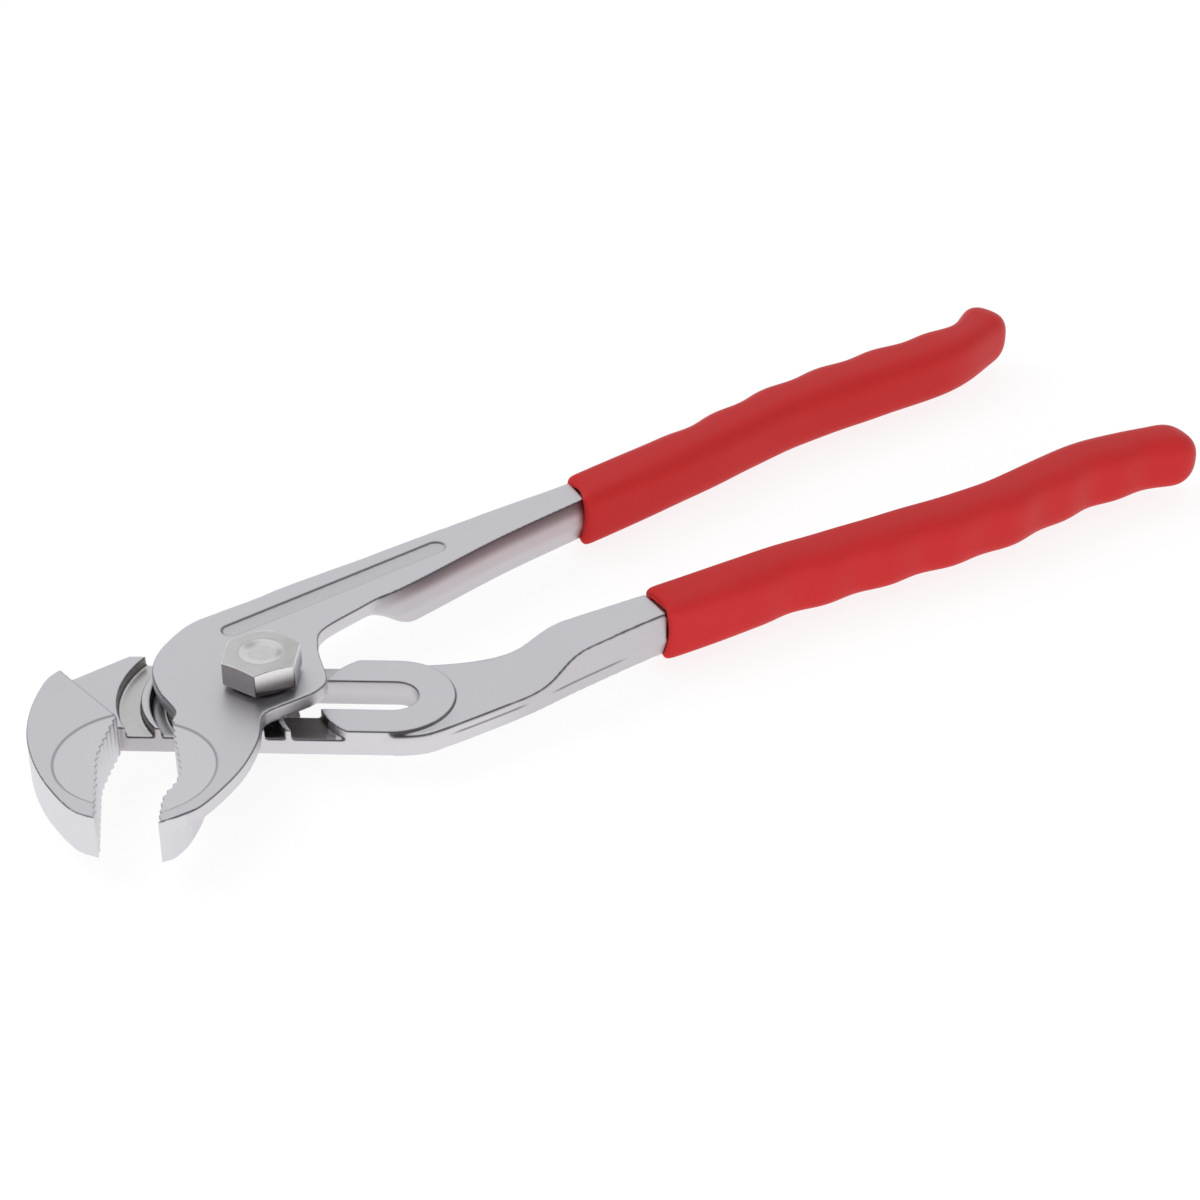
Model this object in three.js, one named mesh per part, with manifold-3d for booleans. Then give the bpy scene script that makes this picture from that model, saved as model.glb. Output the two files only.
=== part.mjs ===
// Groove-joint water pump pliers: two forged levers lapped on a hex bolt that moves along a slot,
// a washer and a thin lock nut behind, and a soft sleeve on each handle.
import * as THREE from 'three';
import { mergeVertices } from 'three/addons/utils/BufferGeometryUtils.js';
import Module from 'manifold-3d';

const wasm = await Module();
wasm.setup();

// All sizes are in millimetres and degrees. The plan is drawn with the pivot axis at its origin,
// x along the slot away from the jaws, y towards the front lever's handle and z up out of the plates.

// Clearances
const GAP = 0.3; // between pieces that lie against each other
const SLOT_PLAY = 0.6; // bolt to slot wall
const TONGUE_PLAY = 0.45; // tongue to groove wall
const EDGE_PLAY = 1.6; // front jaw to the rear plate's near edge

// Forgings
const LEVER_THICKNESS = 11.2;
const PLATE_THICKNESS = 7; // rear joint plate and its pad
const PLATE_HALF = 14.6; // slot axis to either edge of the plate
const GROOVE_DEPTH = 2.6;
const PARTING = 3.8; // height of the forging's parting line along the shanks
const FLASH = 0.3; // flat left along it
const DRAFT = 8; // lean of the shanks' sides above and below it
const SHANK_STEP = 1; // pad's rise above the low stretch of the rear shank
const REAR_RAMP_FROM = 54; // along the handle, where the low stretch starts to rise
const REAR_RAMP_TO = 73;
const FRONT_RAMP_FROM = 35; // where the front shank's underside starts to fall
const FRONT_RAMP_TO = 54;
const FACE_DEPTH = 0.4; // round flat ground into the top of each jaw
const FACE_R = 17.6;

// Adjustable joint
const BOLT_D = 10;
const GROOVE_PITCH = 6;
const GROOVES_IN = 1; // grooves nearer the jaws than the one in use
const GROOVES_OUT = 5; // grooves beyond it
const TONGUE_R = 24.4; // pivot axis to the middle of the tongue
const TONGUE_W = 2.8;
const TONGUE_FROM = 150;
const TONGUE_TO = 171;
const FIRST_GROOVE_EXTRA = 1.8; // the first groove's far wall lies further out
const GROOVE_SPAN = 48; // each groove runs this far either side of the slot, past the plate's edges
const LAST_GROOVE_SPAN = 75;
const LAST_WALL_R = 17.3; // pad's wall, about the last bolt place

// Jaws
const JAW_REACH = 54; // slot axis to the rear tip
const REAR_TIP_X = -29.3;
const FRONT_TIP_X = -15.7;
const FRONT_TIP_EXTRA = 1.2; // front tip reaches a little further
const TOOTH_PITCH = 2.5;
const TOOTH_DEPTH = 0.7;

// Handles: directions from the slot, and how far each handle's axis passes from the pivot
const FRONT_ANGLE = 42;
const FRONT_OFFSET = 17.6;
const FRONT_MOUTH = 110;
const FRONT_GRIP = 157;
const FRONT_SKEW = 14; // the front sleeve's mouth is cut at a slant
const FRONT_FIRST_DIP = 43;
const FRONT_SHANK_IN = 12.7; // shank's two sides at the mouth, along the parting line
const FRONT_SHANK_OUT = 23.7;
const FRONT_BOWS = [[2, 74, 26], [-4, 136, 24]]; // how far out the handle bows, where, and how widely
const REAR_ANGLE = 32;
const REAR_OFFSET = 20.2;
const REAR_MOUTH = 95;
const REAR_GRIP = 166;
const REAR_SKEW = 0;
const REAR_FIRST_DIP = 37;
const REAR_SHANK_IN = 12.9;
const REAR_SHANK_OUT = 25.1;
const REAR_BOWS = [[-1, 34, 18], [1.2, 97, 21], [-4, 136, 24]];
const TANG_W = 7.8;
const TANG_H = 9.6;
const TANG_TIP = 8; // sleeve's blind end beyond the tang

// Sleeves
const GRIP_WALL = 2.5; // outer side, at the crests between the finger dips
const GRIP_INNER_WALL = 3.6;
const GRIP_COVER = 2; // over the lever's two flat faces
const GRIP_EDGE = 3;
const DIP_DEPTH = 1.1;
const DIP_PITCH = 19;

// Bare recessed panel along the front shank
const PANEL_FROM = 6;
const PANEL_LENGTH = 59.5;
const PANEL_OFFSET = 21.5; // from the pivot, at the panel's near end
const PANEL_W = 5;
const PANEL_DEPTH = 0.5;
const PANEL_TILT = -1.7;

// Pivot hardware
const HEX_ACROSS = 17;
const HEX_RIM = 0.4; // chamfer's start inside the flats
const HEAD_H = 6.4;
const HEAD_FACE = 0.8; // round washer face under the hex
const HEAD_FACE_D = 15.6;
const HEAD_CHAMFER = 0.6;
const HEAD_TURN = -2;
const DISH_R = 5.4;
const DISH_SLOPE = 2.2;
const DISH_DEPTH = 1;
const THREAD_D = 8; // below the shoulder that runs in the slot
const BOLT_END = 0.3; // bolt's flat end below the nut
const END_CHAMFER = 0.5;
const WASHER_D = 16;
const WASHER_H = 1;
const NUT_ACROSS = 13;
const NUT_H = 4;
const NUT_CHAMFER = 0.8;
const NUT_TURN = 28;

// How the part lies: handles along x, the bolt's end on the ground
const PLAN_TURN = -36;

const STEEL = { color: 0xc4c5cb, roughness: 0.28, metalness: 1 };
const BOLT_STEEL = { color: 0x9b9895, roughness: 0.3, metalness: 1 };
const RED = { color: 0xc62b2e, roughness: 0.5, metalness: 0 };

const CURVE_STEPS = 60;
const SHANK_STEPS = 36; // wider apart than the shank's lean, so its corners stay whole
const BAND_STEP = 3.2;
const OVERLAP = 10; // joined bodies reach this far into each other
const FAR = 400; // longer than the whole part

const rad = THREE.MathUtils.degToRad;
const at = (x, y) => new THREE.Vector2(x, y);
const polar = (r, degrees) => at(r * Math.cos(rad(degrees)), r * Math.sin(rad(degrees)));
const smooth = (points, steps = CURVE_STEPS) => new THREE.SplineCurve(points).getPoints(steps);
const even = (points) => new THREE.SplineCurve(points).getSpacedPoints(SHANK_STEPS);

// Solids: three.js shapes made into closed bodies that can be joined and cut
function solid(geometry) {
  geometry.deleteAttribute('normal');
  geometry.deleteAttribute('uv');
  const merged = mergeVertices(geometry, 1e-5);
  const vertProperties = new Float32Array(merged.attributes.position.array);
  const triVerts = new Uint32Array(merged.index.array);
  return new wasm.Manifold(new wasm.Mesh({ numProp: 3, vertProperties, triVerts }));
}

function piece(name, body, look) {
  const { vertProperties, triVerts } = body.getMesh();
  const geometry = new THREE.BufferGeometry();
  geometry.setAttribute('position', new THREE.BufferAttribute(vertProperties, 3));
  geometry.setIndex(new THREE.BufferAttribute(triVerts, 1));
  geometry.computeVertexNormals();
  const mesh = new THREE.Mesh(geometry, new THREE.MeshStandardMaterial(look));
  mesh.name = name;
  return mesh;
}

function slab(points, low, high) {
  const shape = new THREE.Shape(points);
  const geometry = new THREE.ExtrudeGeometry(shape, { depth: high - low, bevelEnabled: false });
  return solid(geometry.translate(0, 0, low));
}

function drum(radius, low, high, x = 0, y = 0, sides = 48) {
  const geometry = new THREE.CylinderGeometry(radius, radius, high - low, sides);
  return solid(geometry.rotateX(Math.PI / 2).translate(x, y, (low + high) / 2));
}

function turned(profile) {
  const points = profile.map(([r, z]) => at(r, z));
  return solid(new THREE.LatheGeometry(points, 48).rotateX(Math.PI / 2));
}

// A side profile (along a handle, up) drawn right across the part
function across(points, degrees) {
  const geometry = new THREE.ExtrudeGeometry(new THREE.Shape(points), {
    depth: FAR,
    bevelEnabled: false,
  });
  geometry.rotateX(Math.PI / 2).translate(0, FAR / 2, 0);
  return solid(geometry.rotateZ(rad(degrees)));
}

// An eased step from one height to another, as the forging's flowing ramps have
function ramp(from, to) {
  const middle = (from.x + to.x) / 2;
  return new THREE.CubicBezierCurve(from, at(middle, from.y), at(middle, to.y), to).getPoints(10);
}

// Handles: a place is a distance along the handle and a distance outwards from its axis
const FRONT = {
  angle: FRONT_ANGLE,
  offset: FRONT_OFFSET,
  mouth: FRONT_MOUTH,
  length: FRONT_GRIP,
  skew: FRONT_SKEW,
  firstDip: FRONT_FIRST_DIP,
  bows: FRONT_BOWS,
  outward: 1,
};
const REAR = {
  angle: REAR_ANGLE,
  offset: REAR_OFFSET,
  mouth: REAR_MOUTH,
  length: REAR_GRIP,
  skew: REAR_SKEW,
  firstDip: REAR_FIRST_DIP,
  bows: REAR_BOWS,
  outward: -1,
};

// From (along the handle, outwards from the pivot) to the plan
const place = (handle, along, out) =>
  at(along, out * handle.outward).rotateAround(at(0, 0), rad(handle.angle));

// A corner of a shank's end, drawn past the sleeve's mouth
const shankEnd = (handle, out) => place(handle, handle.mouth + OVERLAP, out);

// All that lies to one side of a sleeve's mouth
function mouthSide(handle, room, far) {
  const facing = handle.angle - handle.outward * handle.skew;
  const edge = room + place(handle, handle.mouth, handle.offset).dot(polar(1, facing));
  return across([at(edge, -FAR), at(far, -FAR), at(far, FAR), at(edge, FAR)], facing);
}

// A forged shank: widest along its parting line, leaning in above and below, cut off at the mouth
function forged(handle, outline) {
  const rise = LEVER_THICKNESS - PARTING;
  const lean = rise * Math.tan(rad(DRAFT));
  const geometry = new THREE.ExtrudeGeometry(new THREE.Shape(outline), {
    depth: FLASH,
    bevelThickness: rise,
    bevelSize: lean,
    bevelOffset: -lean,
    bevelSegments: 1,
  });
  const body = solid(geometry.translate(0, 0, PARTING - FLASH / 2));
  return body.intersect(drum(FAR, 0, LEVER_THICKNESS)).subtract(mouthSide(handle, 0, FAR));
}

const swell = (x, middle, spread) => Math.exp(-(((x - middle) / spread) ** 2));
function bow(handle, x) {
  return handle.bows.reduce((sum, [out, middle, spread]) => sum + out * swell(x, middle, spread), 0);
}

// Outline of a band along a handle's bowed axis, square at its mouth end and round at the other
function band(handle, from, to, inner, outer) {
  const point = (x, side) => {
    const slope = Math.atan(bow(handle, x + 0.5) - bow(handle, x - 0.5));
    const out = handle.offset + bow(handle, x) + side * Math.cos(slope);
    return place(handle, handle.mouth + x - side * Math.sin(slope), out);
  };
  const end = to - (inner + outer(to)) / 2;
  const steps = Math.ceil((end - from) / BAND_STEP);
  const xs = Array.from({ length: steps + 1 }, (_, i) => from + ((end - from) * i) / steps);
  const centre = (outer(end) - inner) / 2;
  const radius = (outer(end) + inner) / 2;
  const cap = Array.from({ length: 9 }, (_, i) => {
    const turn = (Math.PI * (i + 1)) / 10;
    return place(
      handle,
      handle.mouth + end + radius * Math.sin(turn),
      handle.offset + bow(handle, end) + centre + radius * Math.cos(turn),
    );
  });
  return [
    ...xs.map((x) => point(x, outer(x))),
    ...cap,
    ...xs.reverse().map((x) => point(x, -inner)),
  ];
}

const tangLow = (LEVER_THICKNESS - TANG_H) / 2;

function tang(handle, room = 0) {
  const half = TANG_W / 2 + room;
  const outline = band(handle, -BAND_STEP, handle.length - TANG_TIP + room, half, () => half);
  return slab(outline, tangLow - room, tangLow + TANG_H + room);
}

// Plan of the adjustable joint
const boltPlace = (groove) => groove * GROOVE_PITCH;
const slotHalf = BOLT_D / 2 + SLOT_PLAY;
const tongueOut = TONGUE_R + TONGUE_W / 2;
const tongueIn = TONGUE_R - TONGUE_W / 2;
const slotIn = boltPlace(-GROOVES_IN);
const slotOut = boltPlace(GROOVES_OUT);

// A stretch of ring about a point on the slot axis
function ringStretch(x, inner, outer, from, to) {
  const steps = 24;
  const angles = Array.from({ length: steps + 1 }, (_, i) => from + ((to - from) * i) / steps);
  const outside = angles.map((a) => polar(outer, a).add(at(x, 0)));
  const inside = angles.reverse().map((a) => polar(inner, a).add(at(x, 0)));
  return [...outside, ...inside];
}

// A half round about a point on the slot axis, bulging along the given direction
function halfRound(x, radius, towards, steps = 24) {
  const turn = (i) => towards - 90 + (180 * i) / steps;
  return Array.from({ length: steps + 1 }, (_, i) => polar(radius, turn(i)).add(at(x, 0)));
}

const stadium = (from, to, half) => [...halfRound(to, half, 0), ...halfRound(from, half, 180)];

// Saw teeth cut back from a gripping edge
function toothed(edge, setBack) {
  const curve = new THREE.SplineCurve(edge);
  const count = 2 * Math.round(curve.getLength() / TOOTH_PITCH);
  return curve.getSpacedPoints(count).map((p, i) => (i % 2 ? at(p.x + setBack, p.y) : p));
}

// Rear lever: near jaw, grooved and slotted plate, shank and tang
const rearTip = at(REAR_TIP_X, -JAW_REACH);
const rearRoot = at(REAR_TIP_X - 2, -PLATE_HALF - 1.2);
const rearHeel = at(rearRoot.x - 16.6, PLATE_HALF - 12);

function rearJaw() {
  const grip = [
    rearRoot,
    at(REAR_TIP_X - 3.4, rearRoot.y - 11.7),
    at(REAR_TIP_X - 3.3, -JAW_REACH + 21),
    at(REAR_TIP_X - 1.8, -JAW_REACH + 11.5),
    rearTip,
  ];
  const back = [
    rearTip,
    at(REAR_TIP_X - 6.5, -JAW_REACH + 3.4),
    at(REAR_TIP_X - 15.1, -JAW_REACH + 15),
    at(REAR_TIP_X - 20.6, rearHeel.y - 28.6),
    at(REAR_TIP_X - 22.3, rearHeel.y - 16.6),
    at(REAR_TIP_X - 21.2, rearHeel.y - 5.2),
    rearHeel,
  ];
  return slab([...toothed(grip, -TOOTH_DEPTH), ...smooth(back).slice(1)], 0, LEVER_THICKNESS);
}

function rearPlate() {
  const corner = at(slotIn - 28, PLATE_HALF);
  const outline = [
    at(rearRoot.x - 2, -PLATE_HALF),
    ...halfRound(slotOut, PLATE_HALF, 0),
    corner,
    at(rearHeel.x + 2.7, rearHeel.y + 2.3),
    rearHeel,
    at(rearHeel.x, rearHeel.y - 6),
  ];
  return slab(outline, 0, PLATE_THICKNESS);
}

function rearShank() {
  const start = at(slotOut - OVERLAP, -PLATE_HALF + 1.6);
  const outer = [
    at(slotOut + 1.8, -PLATE_HALF - 0.7),
    at(slotOut + 7.5, -PLATE_HALF + 0.1),
    at(slotOut + 12.7, -PLATE_HALF + 2.7),
    place(REAR, 52, 31.2),
    place(REAR, 70, 28.2),
    place(REAR, REAR_MOUTH - 2, REAR_SHANK_OUT),
    shankEnd(REAR, REAR_SHANK_OUT),
  ];
  const inner = [
    shankEnd(REAR, REAR_SHANK_IN),
    place(REAR, REAR_MOUTH - 2, REAR_SHANK_IN),
    place(REAR, 74, 12.9),
    place(REAR, 60, 13),
    place(REAR, 48, 10.9),
    at(slotOut + 4, PLATE_HALF - 0.4),
    at(slotOut - OVERLAP, PLATE_HALF - 2),
  ];
  const low = PLATE_THICKNESS - SHANK_STEP;
  const rise = ramp(at(REAR_RAMP_FROM, low), at(REAR_RAMP_TO, LEVER_THICKNESS));
  const above = [at(-FAR, low), ...rise, at(rise.at(-1).x, FAR), at(-FAR, FAR)];
  const outline = [start, ...even(outer), ...even(inner)];
  return forged(REAR, outline).subtract(across(above, REAR_ANGLE));
}

function rearLever() {
  let body = rearPlate().add(rearShank());
  const floor = PLATE_THICKNESS - GROOVE_DEPTH;
  for (let groove = -GROOVES_IN; groove <= GROOVES_OUT; groove += 1) {
    const first = groove === -GROOVES_IN;
    const last = groove === GROOVES_OUT;
    const inner = last ? LAST_WALL_R : tongueIn - TONGUE_PLAY;
    const outer = tongueOut + TONGUE_PLAY + (first ? FIRST_GROOVE_EXTRA : 0);
    const span = last ? LAST_GROOVE_SPAN : GROOVE_SPAN;
    const ring = ringStretch(boltPlace(groove), inner, outer, 180 - span, 180 + span);
    body = body.subtract(slab(ring, floor, LEVER_THICKNESS));
  }
  body = body.add(rearJaw());
  const slot = stadium(slotIn - GAP, slotOut + GAP, slotHalf);
  body = body.subtract(slab(slot, -LEVER_THICKNESS, 2 * LEVER_THICKNESS));
  const top = LEVER_THICKNESS - FACE_DEPTH;
  const face = drum(FACE_R, top, 2 * LEVER_THICKNESS, REAR_TIP_X + 4.2, -JAW_REACH + 22.2, 96);
  return body.subtract(face).add(tang(REAR));
}

// Front lever: far jaw, round plate with the tongue below, shank with the panel, and tang
const frontTip = at(FRONT_TIP_X, -JAW_REACH - FRONT_TIP_EXTRA);
const frontRoot = at(FRONT_TIP_X - 2.9, -PLATE_HALF - EDGE_PLAY - 1);
const plateLow = PLATE_THICKNESS + GAP;

const frontGrip = toothed(
  [
    frontRoot,
    at(FRONT_TIP_X - 1.4, frontRoot.y - 7),
    at(FRONT_TIP_X + 1.2, frontTip.y + 21),
    at(FRONT_TIP_X + 1.3, frontTip.y + 15.5),
    at(FRONT_TIP_X - 0.6, frontTip.y + 9.6),
    frontTip,
  ],
  TOOTH_DEPTH,
);

function frontOutline() {
  const outer = [
    place(FRONT, 60, 20),
    place(FRONT, 44, 25.6),
    place(FRONT, 30, 28.3),
    place(FRONT, 18, 29.5),
    place(FRONT, 9, 30.2),
    polar(tongueOut + 4.8, 130),
    polar(tongueOut + 3.6, 142),
    polar(tongueOut + 2.2, 159),
    polar(tongueOut + 0.6, 175),
    polar(tongueOut - 1.7, 193),
    polar(tongueOut - 3, 207),
    polar(tongueOut - 2.9, 217),
    frontRoot,
  ];
  const back = [
    frontTip,
    at(FRONT_TIP_X + 4.4, frontTip.y + 2.7),
    at(FRONT_TIP_X + 9.2, frontTip.y + 7.2),
    at(FRONT_TIP_X + 15.2, frontTip.y + 19.4),
    at(FRONT_TIP_X + 17.7, -PLATE_HALF - 9.8),
    at(FRONT_TIP_X + 17.5, -PLATE_HALF - 1.4),
    polar(13.1, -76),
    polar(12.3, -39),
    polar(13.9, -18),
    polar(14.8, 2),
    polar(15.6, 39),
    polar(18.2, 52),
    polar(24, 61),
    place(FRONT, 36, 9.8),
    place(FRONT, 46, 11.2),
    place(FRONT, 60, 15),
  ];
  const steps = 2 * CURVE_STEPS;
  return [...smooth(outer, steps), ...frontGrip.slice(1), ...smooth(back, steps).slice(1)];
}

function frontShank() {
  const outer = [
    shankEnd(FRONT, FRONT_SHANK_OUT),
    place(FRONT, FRONT_MOUTH - 2, FRONT_SHANK_OUT),
    place(FRONT, 88, 25.6),
    place(FRONT, 52, 28.2),
    place(FRONT, 22, 30.5),
    place(FRONT, 9, 28.5),
  ];
  const inner = [
    place(FRONT, 28, 12.5),
    place(FRONT, 36, 10.1),
    place(FRONT, 45, 9.2),
    place(FRONT, 56, 9.8),
    place(FRONT, 81, 12),
    place(FRONT, FRONT_MOUTH - 2, FRONT_SHANK_IN),
    shankEnd(FRONT, FRONT_SHANK_IN),
  ];
  return forged(FRONT, [...even(outer), ...even(inner)]);
}

// The jaw hangs past the rear plate's near edge; its back is hollowed so the lever can open wide
function frontJawBlock() {
  const back = [
    frontTip,
    at(FRONT_TIP_X + 2.6, frontTip.y + 1.6),
    at(FRONT_TIP_X + 5.2, frontTip.y + 6.2),
    at(FRONT_TIP_X + 7, frontTip.y + 15.4),
    at(FRONT_TIP_X + 6.6, frontRoot.y - 13),
    at(FRONT_TIP_X + 3.4, frontRoot.y - 4),
    frontRoot,
  ];
  return slab([...frontGrip, ...smooth(back).slice(1, -1)], -GAP, plateLow + GAP);
}

function frontLever() {
  const fall = ramp(at(FRONT_RAMP_FROM, plateLow), at(FRONT_RAMP_TO, -GAP));
  const below = [at(-FAR, -FAR), at(fall.at(-1).x, -FAR), ...fall.reverse(), at(-FAR, plateLow)];
  const under = across(below, FRONT_ANGLE).subtract(frontJawBlock());
  let body = slab(frontOutline(), 0, LEVER_THICKNESS).add(frontShank()).subtract(under);
  const floor = PLATE_THICKNESS - GROOVE_DEPTH + GAP;
  const tongue = ringStretch(0, tongueIn, tongueOut, TONGUE_FROM, TONGUE_TO);
  body = body.add(slab(tongue, floor, plateLow + 1));
  body = body.subtract(drum(BOLT_D / 2 + GAP, 0, 2 * LEVER_THICKNESS));
  const top = LEVER_THICKNESS - FACE_DEPTH;
  const face = drum(FACE_R, top, 2 * LEVER_THICKNESS, FRONT_TIP_X - 7.7, frontTip.y + 19.6, 96);
  const panelEdge = stadium(0, PANEL_LENGTH, PANEL_W / 2).map((p) => {
    const tilted = p.rotateAround(at(0, 0), rad(PANEL_TILT));
    return place(FRONT, PANEL_FROM + tilted.x, PANEL_OFFSET + tilted.y);
  });
  const panel = slab(panelEdge, LEVER_THICKNESS - PANEL_DEPTH, 2 * LEVER_THICKNESS);
  return body.subtract(face).subtract(panel).add(tang(FRONT));
}

// Sleeve: soft rounded skin with finger dips along its outer side, blind at the far end
function sleeve(handle) {
  const half = TANG_W / 2 + GRIP_WALL;
  const inner = TANG_W / 2 + GRIP_INNER_WALL;
  const start = handle.firstDip - DIP_PITCH / 2;
  const dips = 1 + Math.floor((handle.length - handle.firstDip - TANG_TIP) / DIP_PITCH);
  const stop = start + dips * DIP_PITCH;
  const dip = (x) => (1 + Math.cos((2 * Math.PI * (x - handle.firstDip)) / DIP_PITCH)) / 2;
  const outer = (x) => half - (x > start && x < stop ? DIP_DEPTH * dip(x) : 0);
  const outline = band(handle, -3 * GRIP_EDGE, handle.length, inner, outer);
  const height = LEVER_THICKNESS + 2 * GRIP_COVER;
  const geometry = new THREE.ExtrudeGeometry(new THREE.Shape(outline), {
    depth: height - 2 * GRIP_EDGE,
    bevelThickness: GRIP_EDGE,
    bevelSize: GRIP_EDGE,
    bevelOffset: -GRIP_EDGE,
    bevelSegments: 3,
  });
  const skin = solid(geometry.translate(0, 0, GRIP_EDGE - GRIP_COVER));
  return skin.subtract(mouthSide(handle, GAP, -FAR)).subtract(tang(handle, GAP));
}

// Pivot hardware, from the bolt's head down to its flat end
const washerTop = -GAP;
const nutTop = washerTop - WASHER_H - GAP;
const nutLow = nutTop - NUT_H;
const boltLow = nutLow - BOLT_END;

// A hex bar with a turned chamfer round its upper end
function hexBody(flats, low, high, chamfer, turn) {
  const corner = flats / Math.sqrt(3);
  const geometry = new THREE.CylinderGeometry(corner, corner, high - low, 6);
  geometry.rotateX(Math.PI / 2).rotateZ(rad(turn)).translate(0, 0, (low + high) / 2);
  const cone = turned([
    [0, low],
    [corner + HEX_RIM, low],
    [corner + HEX_RIM, high - chamfer],
    [flats / 2 - HEX_RIM, high],
    [0, high],
  ]);
  return solid(geometry).intersect(cone);
}

function pivotBolt() {
  const face = LEVER_THICKNESS + GAP;
  const low = face + HEAD_FACE;
  const high = low + HEAD_H;
  const dish = turned([
    [0, high - DISH_DEPTH],
    [DISH_R - DISH_SLOPE, high - DISH_DEPTH],
    [DISH_R, high],
    [DISH_R, high + 1],
    [0, high + 1],
  ]);
  const shank = turned([
    [0, boltLow],
    [THREAD_D / 2 - END_CHAMFER, boltLow],
    [THREAD_D / 2, boltLow + END_CHAMFER],
    [THREAD_D / 2, 0],
    [BOLT_D / 2, 0],
    [BOLT_D / 2, low + 1],
    [0, low + 1],
  ]);
  const head = hexBody(HEX_ACROSS, low, high, HEAD_CHAMFER, HEAD_TURN).subtract(dish);
  return head.add(drum(HEAD_FACE_D / 2, face, low + 1)).add(shank);
}

const bore = () => drum(THREAD_D / 2 + GAP, -FAR, FAR);

function slotWasher() {
  return drum(WASHER_D / 2, washerTop - WASHER_H, washerTop).subtract(bore());
}

function lockNut() {
  const body = hexBody(NUT_ACROSS, -nutTop, -nutLow, NUT_CHAMFER, NUT_TURN).rotate([180, 0, 0]);
  return body.subtract(bore());
}

const plan = new THREE.Group();
plan.rotation.z = rad(PLAN_TURN);
plan.position.z = -boltLow;
plan.add(
  piece('rear_lever', rearLever(), STEEL),
  piece('front_lever', frontLever(), STEEL),
  piece('pivot_bolt', pivotBolt(), BOLT_STEEL),
  piece('slot_washer', slotWasher(), BOLT_STEEL),
  piece('lock_nut', lockNut(), BOLT_STEEL),
  piece('front_grip', sleeve(FRONT), RED),
  piece('rear_grip', sleeve(REAR), RED),
);

const pliers = new THREE.Group();
pliers.add(plan);

export default pliers;
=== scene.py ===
# %% [markdown]
# Groove-joint pliers. Two chromed forgings turn on a hex bolt that can be moved along a slot, and each
# handle wears a soft red sleeve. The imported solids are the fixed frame, so every piece made here is
# placed by the same sizes, in the same axes, and nothing has to be fitted by eye.

# %% Load the frame
import math
from collections import namedtuple

import bmesh
import bpy
from mathutils import Matrix, Vector


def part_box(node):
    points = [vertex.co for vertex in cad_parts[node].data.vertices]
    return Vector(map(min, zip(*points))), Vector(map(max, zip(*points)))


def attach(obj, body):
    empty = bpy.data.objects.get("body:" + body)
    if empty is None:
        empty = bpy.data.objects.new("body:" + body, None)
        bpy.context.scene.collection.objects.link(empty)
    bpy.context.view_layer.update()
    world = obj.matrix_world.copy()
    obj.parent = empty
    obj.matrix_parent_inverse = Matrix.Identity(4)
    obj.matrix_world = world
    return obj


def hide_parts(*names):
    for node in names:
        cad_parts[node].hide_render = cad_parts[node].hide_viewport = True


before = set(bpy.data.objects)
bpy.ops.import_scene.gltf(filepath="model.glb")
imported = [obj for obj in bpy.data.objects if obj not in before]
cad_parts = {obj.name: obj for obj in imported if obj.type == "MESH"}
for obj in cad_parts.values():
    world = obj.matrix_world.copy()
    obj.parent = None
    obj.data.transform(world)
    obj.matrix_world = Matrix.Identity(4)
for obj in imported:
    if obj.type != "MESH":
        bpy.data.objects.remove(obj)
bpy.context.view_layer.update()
print("nodes:", sorted(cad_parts))

# %% [markdown]
# The levers were drawn on a plan of their own: the pivot at its origin, x along the slot, y towards the
# front handle. The plan is turned so that the handles lie along the row's x axis, and lifted by the
# height of the nut below. One helper turns plan millimetres into metres of the row.

# %% The plan
MM = 0.001
PLAN_TURN = Matrix.Rotation(math.radians(-36), 3, "Z")
TO_PLAN = PLAN_TURN.transposed()
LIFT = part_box("rear_lever")[0].z / MM
LEVER_THICKNESS = 11.2
PLATE_TOP = 7.0
GROOVE_FLOOR = 4.4
PARTING = 3.8  # height of the line where the forging dies met
FACE_LEVEL = 10.8  # height of the round flats ground into the jaws
FACE_R = 17.6
REAR_FACE_AT = Vector((-25.1, -31.8))
FRONT_FACE_AT = Vector((-23.4, -35.6))
PANEL_LEVEL = 10.7


def row(x, y, z):
    return PLAN_TURN @ Vector((x, y, z + LIFT)) * MM


def plan(point):
    x, y, z = TO_PLAN @ point / MM
    return Vector((x, y, z - LIFT))


print("levers' underside stands", round(LIFT, 2), "mm above the bolt's end")

# %% [markdown]
# The camera stands where the photograph was taken from: about a third of a right angle above the
# plates, to the jaws' side, with a long lens. The lens and the place were worked out from how the
# sleeves shrink with distance.

# %% Camera
camera_data = bpy.data.cameras.new("camera")
camera_data.lens = 84
camera_data.sensor_width = 36
camera = bpy.data.objects.new("camera", camera_data)
camera.location = (-0.2375, -0.4851, 0.3798 + LIFT * MM)
LOOK = Vector((0.4738, 0.692, -0.5446))
camera.rotation_euler = LOOK.to_track_quat("-Z", "Y").to_euler()
bpy.context.scene.collection.objects.link(camera)
bpy.context.scene.camera = camera
bpy.context.scene.view_settings.view_transform = "Standard"
print("camera looks along", [round(c, 3) for c in LOOK])

# %% [markdown]
# Node trees are long to write by hand, so two small helpers make a node with its values and join
# sockets. Values that are the same all over a surface go straight onto the shader's own sockets.

# %% Node helpers


def new_node(tree, kind, values=None, **settings):
    node = tree.nodes.new(kind)
    for name, value in settings.items():
        setattr(node, name, value)
    for name, value in (values or {}).items():
        node.inputs[name].default_value = value
    return node


def join(tree, source, target):
    tree.links.new(source, target)


def new_material(name, values):
    material = bpy.data.materials.new(name)
    material.use_nodes = True
    shader = material.node_tree.nodes["Principled BSDF"]
    for socket, value in values.items():
        shader.inputs[socket].default_value = value
    return material, material.node_tree, shader


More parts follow.
